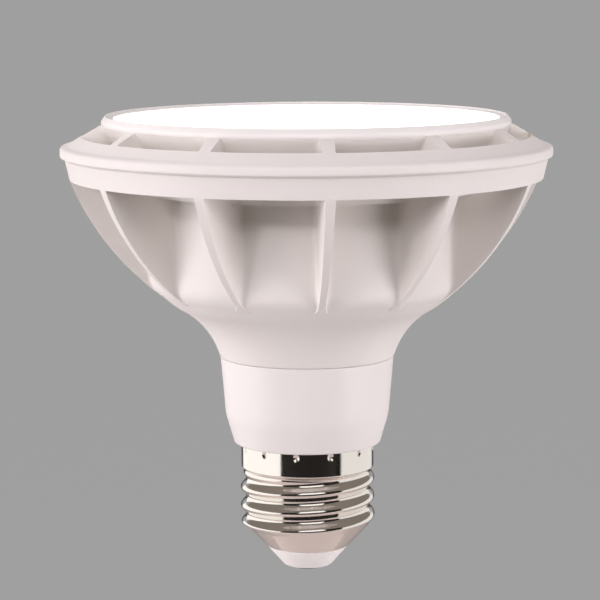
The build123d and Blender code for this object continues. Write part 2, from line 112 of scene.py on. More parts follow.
def roundCorner(before, corner, after, rounding, steps):
    # the arc that takes the place of a sharp corner
    backX, backZ = before[0] - corner[0], before[1] - corner[1]
    onX, onZ = after[0] - corner[0], after[1] - corner[1]
    back, on = hypot(backX, backZ), hypot(onX, onZ)
    inner = acos(max(-1, min(1, (backX * onX + backZ * onZ) / (back * on))))
    reach = rounding / tan(inner / 2)
    startX, startZ = corner[0] + backX / back * reach, corner[1] + backZ / back * reach
    endX, endZ = corner[0] + onX / on * reach, corner[1] + onZ / on * reach
    sag = rounding * (1 - sin(inner / 2))
    cornerX, cornerZ = corner[0] - startX, corner[1] - startZ
    toLeft = (endX - startX) * cornerZ - (endZ - startZ) * cornerX
    return bow((startX, startZ), (endX, endZ), sag if toLeft > 0 else -sag, steps)


def softOutline(corners, steps=4):
    # corners are (radius, height, rounding) in mm, round a closed section
    points = []
    for index, (x, z, rounding) in enumerate(corners):
        before, after = corners[index - 1][:2], corners[(index + 1) % len(corners)][:2]
        points += roundCorner(before, (x, z), after, rounding, steps) if rounding else [(x, z)]
    return points + points[:1]


def turnPiece(name, outline, columns):
    # an outline traced by hand from one vertex, then spun about the lamp's axis
    leaveEdit()
    bpy.ops.mesh.primitive_plane_add(size=mm)
    piece = bpy.context.active_object
    piece.name = piece.data.name = name
    bpy.ops.object.mode_set(mode="EDIT")
    bpy.ops.mesh.select_mode(type="VERT")
    bpy.ops.mesh.select_all(action="SELECT")
    bpy.ops.mesh.merge(type="CENTER")
    bpy.ops.transform.translate(value=(outline[0][0] * mm, 0, outline[0][1] * mm))
    for (x0, z0), (x1, z1) in zip(outline, outline[1:]):
        step = ((x1 - x0) * mm, 0, (z1 - z0) * mm)
        bpy.ops.mesh.extrude_region_move(TRANSFORM_OT_translate={"value": step})
    bpy.ops.mesh.select_all(action="SELECT")
    bpy.ops.mesh.remove_doubles(threshold=weld)
    bpy.ops.mesh.spin(steps=columns, angle=2 * pi, center=(0, 0, 0), axis=(0, 0, 1))
    bpy.ops.mesh.select_all(action="SELECT")
    bpy.ops.mesh.remove_doubles(threshold=weld)
    bpy.ops.mesh.delete_loose(use_verts=True, use_edges=True, use_faces=False)
    bpy.ops.mesh.select_all(action="SELECT")
    bpy.ops.mesh.normals_make_consistent(inside=False)
    return piece


dressed = []  # every new piece with its slot, for the finishes further down


def finishPiece(piece, node, slot, smoothAngle=40, levels=0):
    leaveEdit()
    piece.select_set(True)
    bpy.context.view_layer.objects.active = piece
    if levels:
        cage = piece.modifiers.new("soften", "SUBSURF")
        cage.levels = cage.render_levels = levels
        bpy.ops.object.modifier_apply(modifier=cage.name)
    bpy.ops.object.shade_smooth_by_angle(angle=radians(smoothAngle))
    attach(piece, "root")
    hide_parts(node)
    dressed.append((piece, slot))
    loose = sum(1 for edge in piece.data.edges if edge.is_loose)
    print("made", piece.name, len(piece.data.polygons), "faces", loose, "loose edges")


def makeTurned(name, sizes, node, slot):
    outline = softOutline(sizes["section"], sizes["steps"])
    finishPiece(turnPiece(name, outline, sizes["columns"]), node, slot)


# Casting: core and outer ring are turned, then the ribs are pulled from core to ring and welded

casting = {
    "columns": 120,  # a rib is one column wide before it gets its own thickness
    "ribs": 12,
    "screwHole": 10.35,
    "neckFoot": 42.5,
    "neckFloor": 45.0,
    "neckRadius": 17.05,
    "neckEdge": 0.2,
    "cavityFoot": 15.85,
    "flare": (26.0, 52.9),
    "flareBow": 1.5,
    "flareSteps": 6,
    "flareLead": (0.1, 0.05),  # keeps the bend at the flare's end short
    "ribStart": (28.2, 54.8),
    "shoulder": (30.4, 56.7),
    "shoulderRound": 4.0,
    "shoulderSteps": 4,
    "bayRows": (0.14, 0.3, 0.47, 0.64, 0.8, 0.93),  # shares of the way up the wall
    "bayTop": (31.0, 75.4),
    "bayTopRound": 0.5,
    "ledge": (34.0, 75.4),
    "ledgeRound": 0.12,
    "ledgeSteps": 2,
    "cupFoot": (34.15, 76.6),
    "cupWaist": (37.4, 84.6),
    "cupBow": 0.46,
    "cupMiddle": (38.75, 86.2),
    "rim": (39.5, 87.8),
    "rimEdge": 0.1,
    "rimCrease": 0.9,
    "rimLand": 2.1,
    "seat": (32.2, 77.4),
    "seatWall": 2.5,
    "cavityTop": 28.8,
    "wall": 2.2,
    "edgeRound": 0.1,
    "ribFoot": (28.25, 54.65),
    "ribBow": -2.1,
    "ribSteps": 400,
    "ribHalf": (  # height and half thickness
        (54.6, 1.7),
        (55.3, 0.85),
        (56.2, 0.66),
        (60.0, 0.68),
        (71.0, 0.84),
        (77.6, 1.0),
        (88.2, 1.25),
    ),
    "ribDraft": 0.12,
    "rootFillet": 0.4,
    "spokeFillet": 0.08,
    "rootReach": 0.6,
    "rootShare": 0.3,  # at most this share of a rib's depth
    "edgeReach": 0.22,
    "edgeShare": 0.25,
    "spokeRise": 0.3,
    "ribCrease": 0.85,
    "softRows": 2,  # rows at the rib's foot that stay round
    "ringWeld": 0.01,
    "smoothAngle": 42,
    "softening": 1,
    # the outer ring, from its lower corner over the bead to the edge of the windows, with creases
    "ringOutside": [
        (45.8, 77.6, 1),
        (45.85, 77.8, 0),
        (46.3, 79.8, 0),
        (46.68, 81.4, 0),
        (46.76, 81.6, 0.5),
        (47.45, 81.9, 0),
        (47.6, 82.08, 0.4),
        (47.62, 82.7, 0),
        (47.6, 83.3, 0),
        (47.47, 83.62, 0),
        (47.2, 83.8, 0),
        (46.6, 83.95, 0),
        (46.05, 84.1, 0.6),
        (45.4, 84.47, 0),
        (44.3, 85.15, 0),
        (43.7, 85.52, 0),
        (43.4, 85.7, 0.7),
    ],
    # its underside and inner face, from that corner to that edge, where the ribs run into it
    "ringInside": [
        (45.8, 77.6),
        (45.4, 77.6),
        (43.65, 77.6),
        (43.4, 77.8),
        (43.4, 80.0),
        (43.4, 83.0),
        (43.4, 85.1),
        (43.4, 85.7),
    ],
}

rowReach = 0.02  # mm from a row within which a vertex belongs to it
faceReach = 0.09  # the same for the middle of a face
ribMiddle = 0.3  # degrees from a rib within which a face or edge lies over it
columnReach = 0.1  # degrees from a column's edge
halfColumn = 180 / casting["columns"]


def offRib(point):
    # degrees from the nearest rib, signed
    pitch = 360 / casting["ribs"]
    return (angleOf(point) + pitch / 2) % pitch - pitch / 2


def ribHalf(height):
    steps = casting["ribHalf"]
    for (z0, h0), (z1, h1) in zip(steps, steps[1:]):
        if height < z1:
            break
    return h0 + (h1 - h0) * (height - z0) / (z1 - z0)


def wallRows():
    # the core's outside between the ribs: below them, up to the cup's foot, up the cup to its rim
    c = casting
    steps = c["ledgeSteps"]
    shoulder = roundCorner(
        c["flare"], c["shoulder"], c["bayTop"], c["shoulderRound"], c["shoulderSteps"]
    )
    corner = roundCorner(c["shoulder"], c["bayTop"], c["ledge"], c["bayTopRound"], steps)
    (x0, z0), (x1, z1) = shoulder[-1], corner[0]
    straight = [(x0 + (x1 - x0) * share, z0 + (z1 - z0) * share) for share in c["bayRows"]]
    ledgeMiddle = [((c["bayTop"][0] + c["ledge"][0]) / 2, c["bayTop"][1])]
    edge = roundCorner(c["bayTop"], c["ledge"], c["cupFoot"], c["ledgeRound"], steps)
    (startX, startZ), (flareX, flareZ) = c["ribStart"], c["flare"]
    leadX, leadZ = c["flareLead"]
    low = [(flareX - leadX, flareZ - leadZ), ((flareX + startX) / 2, (flareZ + startZ) / 2)]
    bendX, bendZ = shoulder[0]
    rise = [c["ribStart"], ((startX + bendX) / 2, (startZ + bendZ) / 2)]
    below = rise + shoulder + straight + corner + ledgeMiddle + edge + [c["cupFoot"]]
    # as many rows up the cup as the ring has above its first, so that the spokes join them
    last = [c["cupMiddle"], (c["rim"][0], c["rim"][1] - c["rimEdge"])]
    rowsUp = len(c["ringInside"]) - 1 - len(last)
    cup = bow(c["cupFoot"], c["cupWaist"], c["cupBow"], rowsUp)[1:] + last
    return low, below, cup


def coreOutline(low, below, cup):
    c = casting
    neckTop = (c["neckRadius"], c["neckFoot"] + c["neckEdge"])
    flare = bow(neckTop, c["flare"], c["flareBow"], c["flareSteps"])
    (rimX, rimZ), (seatX, seatZ) = c["rim"], c["seat"]
    (waistX, waistZ), (flareX, flareZ) = c["cupWaist"], c["flare"]
    r, foot, floor = c["edgeRound"], c["cavityFoot"], c["neckFloor"]
    inside = [
        (rimX - c["rimEdge"], rimZ),
        (rimX - c["rimLand"] + r, rimZ),
        (rimX - c["rimLand"], rimZ - r),
        (waistX - c["rimLand"], waistZ),
        (seatX, seatZ + c["seatWall"]),
        (seatX, seatZ + r),
        (seatX - r, seatZ),
        (c["cavityTop"] + r, seatZ),
        (c["cavityTop"], seatZ - r),
        (c["shoulder"][0] - c["wall"], c["shoulder"][1] + c["wall"]),
        (flareX - c["wall"] / 2, flareZ + c["wall"]),
        ((foot + flareX) / 2 - c["flareBow"], (floor + flareZ) / 2 + c["flareBow"]),
        (foot + r, floor + r),
        (foot - r, floor),
        (c["screwHole"] + r, floor),
        (c["screwHole"], floor - r),
        (c["screwHole"], c["neckFoot"] + r),
        (c["screwHole"] + r, c["neckFoot"]),
        (c["neckRadius"] - 2 * c["neckEdge"], c["neckFoot"]),
        (c["neckRadius"] - c["neckEdge"] / 3, c["neckFoot"] + c["neckEdge"] / 4),
    ]
    return flare[:-1] + low + below + cup + inside + flare[:1]


def nearest(section, places, reach):
    gaps = [hypot(section[0] - x, section[1] - z) for x, z in places]
    best = min(range(len(gaps)), key=gaps.__getitem__)
    return best if gaps[best] < reach else None


def onRow(point, places):
    return nearest(sectionOf(point), places, rowReach) is not None


def between(places):
    return [((x0 + x1) / 2, (z0 + z1) / 2) for (x0, z0), (x1, z1) in zip(places, places[1:])]


def pickRibFaces(piece, places, among=None):
    # the faces over the ribs, one column wide, that lie between the given rows
    middles = between(places)

    def rule(face):
        centre = face.calc_center_median()
        if abs(offRib(centre)) > ribMiddle or (among is not None and face.index not in among):
            return False
        return nearest(sectionOf(centre), middles, faceReach) is not None

    selectFaces(piece, rule)
    return {face.index for face in editMesh(piece).faces if face.select}


def columnVerts(mesh):
    # the vertices on both sides of each rib's column
    return [vert for vert in mesh.verts if abs(abs(offRib(vert.co)) - halfColumn) < columnReach]


def rowSides(verts, places):
    # vertices of each row, those left of their rib and those right of it
    sides = {}
    for vert in verts:
        row = nearest(sectionOf(vert.co), places, rowReach)
        if row is not None:
            sides.setdefault(row, ([], []))[0 if offRib(vert.co) > 0 else 1].append(vert)
    return sides


def moveRow(piece, sides, scale, rise, swing):
    left, right = sides
    selectVerts(piece, left + right)
    bpy.ops.transform.resize(value=(scale, scale, 1), center_override=(0, 0, 0))
    bpy.ops.transform.translate(value=(0, 0, rise * mm))
    for side, way in ((left, 1), (right, -1)):
        selectVerts(piece, side)
        turn(way * swing)


def ribEnds(below):
    # where each row of the ribs ends: on their bowed edge, then on the ring
    c = casting
    lengths = [0]
    for (x0, z0), (x1, z1) in zip(below, below[1:]):
        lengths.append(lengths[-1] + hypot(x1 - x0, z1 - z0))
    steps = c["ribSteps"]
    edge = bow(c["ribFoot"], c["ringInside"][0], c["ribBow"], steps)
    onEdge = [edge[round(steps * length / lengths[-1])] for length in lengths]
    return onEdge + c["ringInside"][1:]


def pullRibs(piece, below, cup):
    c = casting
    rows, ends = below + cup, ribEnds(below)

    # the root of each rib is widened to its fillet, each spoke is raised to the front ring
    chosen = pickRibFaces(piece, rows)
    mesh = editMesh(piece)
    sides = rowSides(columnVerts(mesh), rows)
    starts, swings = [], []
    for row, (x, z) in enumerate(rows):
        rise = c["spokeRise"] if row == len(rows) - 1 else 0
        fillet = c["rootFillet"] if row < len(below) else c["spokeFillet"]
        swing = degrees(asin((ribHalf(z) + c["ribDraft"] + fillet) / x))
        moveRow(piece, sides[row], 1, rise, swing - halfColumn)
        starts.append((x, z + rise))
        swings.append(swing)

    # four pulls: end of the fillet, middle, near the edge, edge
    selectFaces(piece, lambda face: face.index in chosen)
    places = starts
    spokeTop = starts[-1:]
    for pull in range(4):
        bpy.ops.mesh.extrude_region_move()
        mesh = editMesh(piece)
        fresh = [vert for vert in mesh.verts if vert.select]
        sides = rowSides(fresh, places)
        moved = []
        for row, ((wallX, wallZ), (endX, endZ)) in enumerate(zip(starts, ends)):
            reach = hypot(endX - wallX, endZ - wallZ)
            near = min(c["rootReach"], c["rootShare"] * reach)
            far = reach - min(c["edgeReach"], c["edgeShare"] * reach)
            share = (near, (near + far) / 2, far, reach)[pull] / reach
            x, z = wallX + (endX - wallX) * share, wallZ + (endZ - wallZ) * share
            swing = degrees(asin((ribHalf(z) + c["ribDraft"] * (1 - share)) / x))
            scale, rise = x / places[row][0], z - places[row][1]
            moveRow(piece, sides[row], scale, rise, swing - swings[row])
            moved.append((x, z))
            swings[row] = swing
        places = moved
        spokeTop.append(moved[-1])
        selectVerts(piece, fresh)
        bpy.ops.mesh.select_mode(type="FACE")
    # the ends that run into the ring are left open
    pulled = {face.index for face in editMesh(piece).faces if face.select}
    pickRibFaces(piece, c["ringInside"], pulled)
    bpy.ops.mesh.delete(type="FACE")
    return places[: len(below)], spokeTop


def makeRing():
    c = casting
    inside = c["ringInside"]
    outside = [corner[:2] for corner in c["ringOutside"]]
    ring = turnPiece("castRing", outside + inside[-2::-1], c["columns"])
    turn(halfColumn)
    chosen = pickRibFaces(ring, inside)
    mesh = editMesh(ring)
    for row, sides in rowSides(columnVerts(mesh), inside).items():
        x, z = inside[row]
        moveRow(ring, sides, 1, 0, degrees(asin(ribHalf(z) / x)) - halfColumn)
    selectFaces(ring, lambda face: face.index in chosen)
    bpy.ops.mesh.delete(type="FACE")
    return ring


def creaseEdges(piece, amount, rule):
    bpy.ops.mesh.select_mode(type="EDGE")
    bpy.ops.mesh.select_all(action="DESELECT")
    for edge in editMesh(piece).edges:
        if rule(*(vert.co for vert in edge.verts)):
            edge.select_set(True)
    bmesh.update_edit_mesh(piece.data, loop_triangles=False, destructive=False)
    bpy.ops.transform.edge_crease(value=amount)


def alongRib(places):
    # edges that run from row to row on one side of a rib
    def rule(a, b):
        return offRib(a) * offRib(b) > 0 and onRow(a, places) and onRow(b, places)

    return rule


def roundLamp(place):
    # edges that run round the lamp between the ribs
    def rule(a, b):
        return abs(offRib((a + b) / 2)) > ribMiddle and onRow(a, [place]) and onRow(b, [place])

    return rule


def makeCasting():
    c = casting
    low, below, cup = wallRows()
    core = turnPiece("castBody", coreOutline(low, below, cup), c["columns"])
    turn(halfColumn)
    ribEdge, spokeTop = pullRibs(core, below, cup)
    print("ribs pulled:", len(editMesh(core).faces), "faces")
    ring = makeRing()
    leaveEdit()
    ring.select_set(True)
    core.select_set(True)
    bpy.context.view_layer.objects.active = core
    bpy.ops.object.join()
    bpy.ops.object.mode_set(mode="EDIT")
    bpy.ops.mesh.select_all(action="SELECT")
    bpy.ops.mesh.remove_doubles(threshold=c["ringWeld"] * mm)
    bpy.ops.mesh.normals_make_consistent(inside=False)
    torn = sum(1 for edge in editMesh(core).edges if len(edge.link_faces) != 2)
    print("casting cage:", len(editMesh(core).faces), "faces,", torn, "torn edges")

    # sharp corners where the ribs run into the foot of the ring
    mesh = editMesh(core)
    foot = [vert for vert in mesh.verts if onRow(vert.co, c["ringInside"][:1])]
    selectVerts(core, [vert for vert in foot if abs(offRib(vert.co)) < 2 * halfColumn])
    bpy.ops.transform.vert_crease(value=1)
    creaseEdges(core, c["ribCrease"], alongRib(ribEdge[c["softRows"] :]))
    creaseEdges(core, c["ribCrease"], alongRib(spokeTop))
    (rimX, rimZ), edge, crease = c["rim"], c["rimEdge"], c["rimCrease"]
    rim = [(rimX, rimZ - edge, crease), (rimX - edge, rimZ, crease)]
    for x, z, amount in c["ringOutside"] + rim:
        if amount:
            creaseEdges(core, amount, roundLamp((x, z)))
    finishPiece(core, "heat_sink", "cast_white", c["smoothAngle"], c["softening"])


makeCasting()


# The plain turned pieces: a section has radius, height and rounding, steps are of a rounding

frontRing = {
    "columns": 240,
    "steps": 4,
    "section": [
        (38.3, 87.8, 0),
        (39.5, 87.8, 0.08),
        (39.6, 88.3, 0.3),
        (39.5, 88.75, 0.5),
        (38.85, 89.63, 0.12),
        (38.55, 89.63, 0.06),
        (38.4, 89.42, 0.06),
        (37.25, 89.2, 0.06),
        (37.25, 88.75, 0),
        (38.3, 88.75, 0),
    ],
}
makeTurned("frontRing", frontRing, "front_ring", "ring_white")

lensDisc = {
    "columns": 240,
    "steps": 4,
    "section": [
        (0, 87.8, 0),
        (38.1, 87.8, 0.1),
        (38.1, 88.6, 0.1),
        (37.05, 88.6, 0),
        (37.05, 89.05, 0.12),
        (0, 89.05, 0),
    ],
}
makeTurned("lensDisc", lensDisc, "diffuser", "lens_white")

collar = {
    "columns": 240,
    "steps": 6,
    "section": [
        (9.73, 12.2, 0.1),
        (11.53, 12.2, 0.1),
        (11.53, 21.5, 0),
        (12.42, 21.5, 0),
        (12.42, 25.4, 0),
        (14.15, 25.4, 0.1),
        (14.42, 25.68, 0.2),
        (16.0, 31.1, 9.0),
        (16.95, 42.5, 0.15),
        (15.15, 42.5, 0),
        (14.2, 31.1, 0),
        (12.3, 27.2, 0),
        (9.73, 27.2, 0),
    ],
}
makeTurned("collar", collar, "driver_housing", "collar_white")

capInsulator = {
    "columns": 180,
    "steps": 4,
    "section": [
        (1.35, 0.6, 0),
        (4.6, 0.6, 0.9),
        (8.15, 4.65, 0.1),
        (7.5, 4.65, 0),
        (7.5, 7.6, 0.2),
        (1.35, 7.6, 0),
    ],
}
makeTurned("capInsulator", capInsulator, "base_insulator", "insulator_white")

capContact = {
    "columns": 96,
    "steps": 4,
    "section": [
        (0, 0, 0),
        (2.6, 0.0, 0.12),
        (2.6, 0.6, 0.08),
        (1.2, 0.6, 0),
        (1.2, 4.6, 0.2),
        (0, 4.6, 0),
    ],
}
makeTurned("capContact", capContact, "centre_contact", "contact_metal")


# Screw shell: turned plain, then the thread is rolled out of it and the stakes are punched in

capShell = {
    "columns": 360,
    "rowHeight": 0.2,
    "mouth": (8.15, 4.65),
    "mouthRound": 0.15,
    "coneTop": (12.3, 9.1),
    "coneRound": 1.2,
    "root": 12.13,
    "rootFoot": 12.0,
    "depth": 1.05,
    "pitch": 3.629,
    "crestAtX": 14.57,  # height of a crest on the x axis
    "skirtFoot": 20.45,
    "skirtStep": (0.5, 0.1),  # how far the step starts below the skirt's foot and ends above it
    "stepRound": 0.4,
    "skirt": 13.02,
    "top": 25.4,
    "topRound": 0.1,
    "wall": 0.45,
    "fadeLow": (8.3, 9.9),  # heights over which the thread grows
    "fadeHigh": (18.6, 20.4),  # and runs out
    "stakes": 12,
    "stakeAt": (15, 24.4),  # degrees and height
    "stakeHalf": (0.72, 0.85),
    "stakeDepth": 0.42,
}


def smooth(low, high, value):
    share = max(0, min(1, (value - low) / (high - low)))
    return share * share * (3 - 2 * share)


def threadRise(angle, height):
    s = capShell
    phase = (height - s["crestAtX"] - s["pitch"] * angle / 360) / s["pitch"]
    fade = smooth(*s["fadeLow"], height) * (1 - smooth(*s["fadeHigh"], height))
    return s["depth"] * fade * (0.5 + 0.5 * cos(2 * pi * phase))


def stakeFall(angle, height):
    # the punched dimples that hold the shell on the collar
    s = capShell
    pitch = 360 / s["stakes"]
    swing = (angle - s["stakeAt"][0] + pitch / 2) % pitch - pitch / 2
    across = radians(swing) * s["skirt"] / s["stakeHalf"][0]
    up = (height - s["stakeAt"][1]) / s["stakeHalf"][1]
    return s["stakeDepth"] * smooth(0, 1, 1 - hypot(across, up))


def shellOutline():
    s = capShell
    stepDown, stepUp = s["skirtStep"]
    skin = softOutline(
        [
            (s["mouth"][0] - s["wall"], s["mouth"][1], 0),
            (*s["mouth"], s["mouthRound"]),
            (*s["coneTop"], s["coneRound"]),
            (s["root"], s["rootFoot"], 0),
            (s["root"], s["skirtFoot"] - stepDown, s["stepRound"]),
            (s["skirt"], s["skirtFoot"] + stepUp, s["stepRound"]),
            (s["skirt"], s["top"], s["topRound"]),
            (s["skirt"] - s["wall"], s["top"], 0),
        ]
    )[:-1]
    # rows close enough to carry the thread
    outline = [skin[0]]
    for (x0, z0), (x1, z1) in zip(skin, skin[1:]):
        rows = max(1, round(abs(z1 - z0) / s["rowHeight"]))
        for row in range(1, rows + 1):
            outline.append((x0 + (x1 - x0) * row / rows, z0 + (z1 - z0) * row / rows))
    inside = [
        (s["skirt"] - s["wall"], s["skirtFoot"] + s["wall"]),
        (s["root"] - s["wall"], s["skirtFoot"]),
        (s["root"] - s["wall"], s["coneTop"][1]),
    ]
    return outline + inside + outline[:1]


def makeShell():
    piece = turnPiece("capShell", shellOutline(), capShell["columns"])
    mesh = editMesh(piece)
    for vert in mesh.verts:
        if vert.normal.xy.dot(vert.co.xy) > 0:
            angle, height = angleOf(vert.co), vert.co.z / mm
            rise = threadRise(angle, height) - stakeFall(angle, height)
            grow = 1 + rise * mm / vert.co.xy.length
            vert.co.x *= grow
            vert.co.y *= grow
    bmesh.update_edit_mesh(piece.data)
    finishPiece(piece, "screw_shell", "cap_nickel")


makeShell()


# Finishes

class Wire:
    # a shader socket that takes Python arithmetic; each sum adds its Math node
    def __init__(self, tree, socket=None):
        self.tree, self.socket = tree, socket

    def node(self, kind, settings=None, inputs=None, output=0):
        made = self.tree.nodes.new(kind)
        for name, value in (settings or {}).items():
            setattr(made, name, value)
        for name, value in (inputs or {}).items():
            if isinstance(value, Wire):
                self.tree.links.new(value.socket, made.inputs[name])
            else:
                made.inputs[name].default_value = value
        return Wire(self.tree, made.outputs[output]) if made.outputs else None

    def maths(self, operation, *values):
        return self.node("ShaderNodeMath", {"operation": operation}, dict(enumerate(values)))

    def __add__(self, other):
        return self.maths("ADD", self, other)

    def __radd__(self, other):
        return self.maths("ADD", other, self)

    def __sub__(self, other):
        return self.maths("SUBTRACT", self, other)

    def __rsub__(self, other):
        return self.maths("SUBTRACT", other, self)

    def __mul__(self, other):
        return self.maths("MULTIPLY", self, other)

    def __rmul__(self, other):
        return self.maths("MULTIPLY", other, self)


def newFinish(name):
    material = bpy.data.materials.new(name)
    material.use_nodes = True
    wire = Wire(material.node_tree)
    place = wire.node("ShaderNodeTexCoord", output="Object")
    return material, material.node_tree.nodes["Principled BSDF"], place


def setShader(shader, inputs):
    for name, value in inputs.items():
        if isinstance(value, Wire):
            value.tree.links.new(value.socket, shader.inputs[name])
        else:
            shader.inputs[name].default_value = value


def grain(place, size, detail=2, roughness=0.5):
    # even noise, size in mm
    return place.node(
        "ShaderNodeTexNoise",
        {"noise_dimensions": "3D"},
        {"Vector": place, "Scale": 1 / (size * mm), "Detail": detail, "Roughness": roughness},
    )


def blend(factor, low, high):
    # the Mix node's colour sockets are 6 and 7, its colour output is 2
    colours = {0: factor, 6: (*low, 1), 7: (*high, 1)}
    return factor.node("ShaderNodeMix", {"data_type": "RGBA"}, colours, 2)


def relief(height, depth):
    # bump from a height of 0 to 1, depth in mm
    bump = {"Height": height, "Distance": depth * mm, "Strength": 1}
    return height.node("ShaderNodeBump", None, bump)


paint = {"patch": 14, "patchShare": 0.75, "patchGloss": 0.12, "pebbleGloss": 0.06}


def paintedWhite(name, colour, dust, roughness, pebble, depth):
    # white paint or plastic: a fine pebble, a slow change of tone and of gloss
    material, shader, place = newFinish(name)
    fine = grain(place, pebble)
    slow = grain(place, paint["patch"], 3)
    mottle = slow * paint["patchShare"] + fine * (1 - paint["patchShare"])
    gloss = roughness + paint["patchGloss"] * slow - paint["pebbleGloss"] * fine
    setShader(
        shader,
        {
            "Base Color": blend(mottle, dust, colour),
            "Roughness": gloss,
            "Normal": relief(fine, depth),
        },
    )
    return material


lensGlow = {
    "radius": 37,
    "strength": 1.3,
    "middle": (1.0, 1.0, 1.0),
    "edge": (1.0, 0.985, 0.97),
    "pebbleGloss": 0.1,
}


def litLens(name, colour, dust, roughness, pebble, depth):
    # the lit disc, a touch whiter over the chips than at its edge
    material, shader, place = newFinish(name)
    fine = grain(place, pebble)
    east = place.node("ShaderNodeSeparateXYZ", None, {0: place}, 0)
    north = place.node("ShaderNodeSeparateXYZ", None, {0: place}, 1)
    edge = (east * east + north * north) * (1 / (lensGlow["radius"] * mm) ** 2)
    setShader(
        shader,
        {
            "Base Color": blend(fine, dust, colour),
            "Roughness": roughness + lensGlow["pebbleGloss"] * fine,
            "Emission Color": blend(edge, lensGlow["middle"], lensGlow["edge"]),
            "Emission Strength": lensGlow["strength"],
            "Normal": relief(fine, depth),
        },
    )
    return material


plating = {"patch": 6, "patchGloss": 0.08, "pitDetail": 2, "pitRoughness": 0.6}


def metal(name, colour, shade, roughness, pit, depth):
    # plated or rolled metal: faint pitting and wiped patches
    material, shader, place = newFinish(name)
    pits = grain(place, pit, plating["pitDetail"], plating["pitRoughness"])
    wiped = grain(place, plating["patch"], 3)
    setShader(
        shader,
        {
            "Base Color": blend(wiped, shade, colour),
            "Metallic": 1.0,
            "Roughness": roughness + plating["patchGloss"] * wiped,
            "Normal": relief(pits, depth),
        },
    )
    return material


innerGloss = 0.15


def solid(name, colour, shade, roughness, size, depth):
    # plain coloured body with a little mottle, for the parts inside
    material, shader, place = newFinish(name)
    fine = grain(place, size, 3)
    setShader(
        shader,
        {
            "Base Color": blend(fine, shade, colour),
            "Roughness": roughness + innerGloss * fine,
            "Normal": relief(fine, depth),
        },
    )
    return material


# slot: maker, name, colour, its darker shade, roughness, size of the grain, depth of the grain
looks = {
    "cast_white": (
        paintedWhite, "castWhite", (0.755, 0.714, 0.664), (0.722, 0.677, 0.624), 0.46, 0.42, 0.035),
    "ring_white": (
        paintedWhite, "ringWhite", (0.81, 0.775, 0.732), (0.78, 0.74, 0.692), 0.36, 0.6, 0.012),
    "collar_white": (
        paintedWhite, "collarWhite", (0.752, 0.711, 0.668), (0.723, 0.68, 0.632), 0.38, 0.5, 0.016),
    "insulator_white": (
        paintedWhite, "insulatorWhite", (0.85, 0.81, 0.757), (0.82, 0.776, 0.72), 0.4, 0.5, 0.012),
    "cover_white": (
        paintedWhite, "coverWhite", (0.8, 0.78, 0.74), (0.76, 0.74, 0.7), 0.5, 0.6, 0.015),
    "solder_mask_white": (
        paintedWhite, "maskWhite", (0.82, 0.82, 0.8), (0.78, 0.78, 0.77), 0.3, 0.8, 0.004),
    "lens_white": (
        litLens, "litLens", (0.9, 0.9, 0.89), (0.86, 0.86, 0.85), 0.3, 0.5, 0.01),
    "cap_nickel": (
        metal, "capNickel", (0.88, 0.85, 0.81), (0.82, 0.785, 0.735), 0.05, 0.22, 0.005),
    "contact_metal": (
        metal, "contactMetal", (0.17, 0.16, 0.145), (0.12, 0.11, 0.1), 0.3, 0.3, 0.006),
    "tray_aluminium": (
        metal, "trayAluminium", (0.8, 0.8, 0.81), (0.72, 0.72, 0.73), 0.35, 0.3, 0.006),
    "screw_steel": (
        metal, "screwSteel", (0.7, 0.69, 0.67), (0.6, 0.59, 0.57), 0.25, 0.3, 0.004),
    "chip_yellow": (
        solid, "chipYellow", (0.9, 0.72, 0.2), (0.82, 0.62, 0.14), 0.35, 0.6, 0.01),
    "board_green": (
        solid, "boardGreen", (0.03, 0.16, 0.06), (0.02, 0.11, 0.045), 0.3, 2.0, 0.01),
    "package_black": (
        solid, "packageBlack", (0.03, 0.03, 0.032), (0.02, 0.02, 0.022), 0.45, 0.4, 0.01),
    "sleeve_dark": (
        solid, "sleeveDark", (0.02, 0.03, 0.07), (0.015, 0.02, 0.05), 0.3, 1.5, 0.005),
    "ferrite_grey": (
        solid, "ferriteGrey", (0.09, 0.09, 0.095), (0.06, 0.06, 0.065), 0.5, 0.5, 0.02),
    "winding_tape": (
        solid, "windingTape", (0.75, 0.55, 0.1), (0.65, 0.45, 0.07), 0.35, 1.5, 0.01),
    "fuse_body": (
        solid, "fuseBody", (0.25, 0.4, 0.5), (0.2, 0.33, 0.42), 0.4, 0.8, 0.01),
    "lead_red": (
        solid, "leadRed", (0.55, 0.03, 0.02), (0.45, 0.02, 0.015), 0.4, 1.0, 0.005),
    "lead_black": (
        solid, "leadBlack", (0.03, 0.03, 0.03), (0.02, 0.02, 0.02), 0.4, 1.0, 0.005),
}
finishes = {slot: maker(*values) for slot, (maker, *values) in looks.items()}

for part in frame["record"]["subparts"]:
    dressed.append((frame["nodes"][part["node"]], part["material_slot"]))
for piece, slot in dressed:
    piece.data.materials.clear()
    piece.data.materials.append(finishes[slot])
print("finishes:", len(finishes), "on", len(dressed), "pieces")


# Floor, world and lights

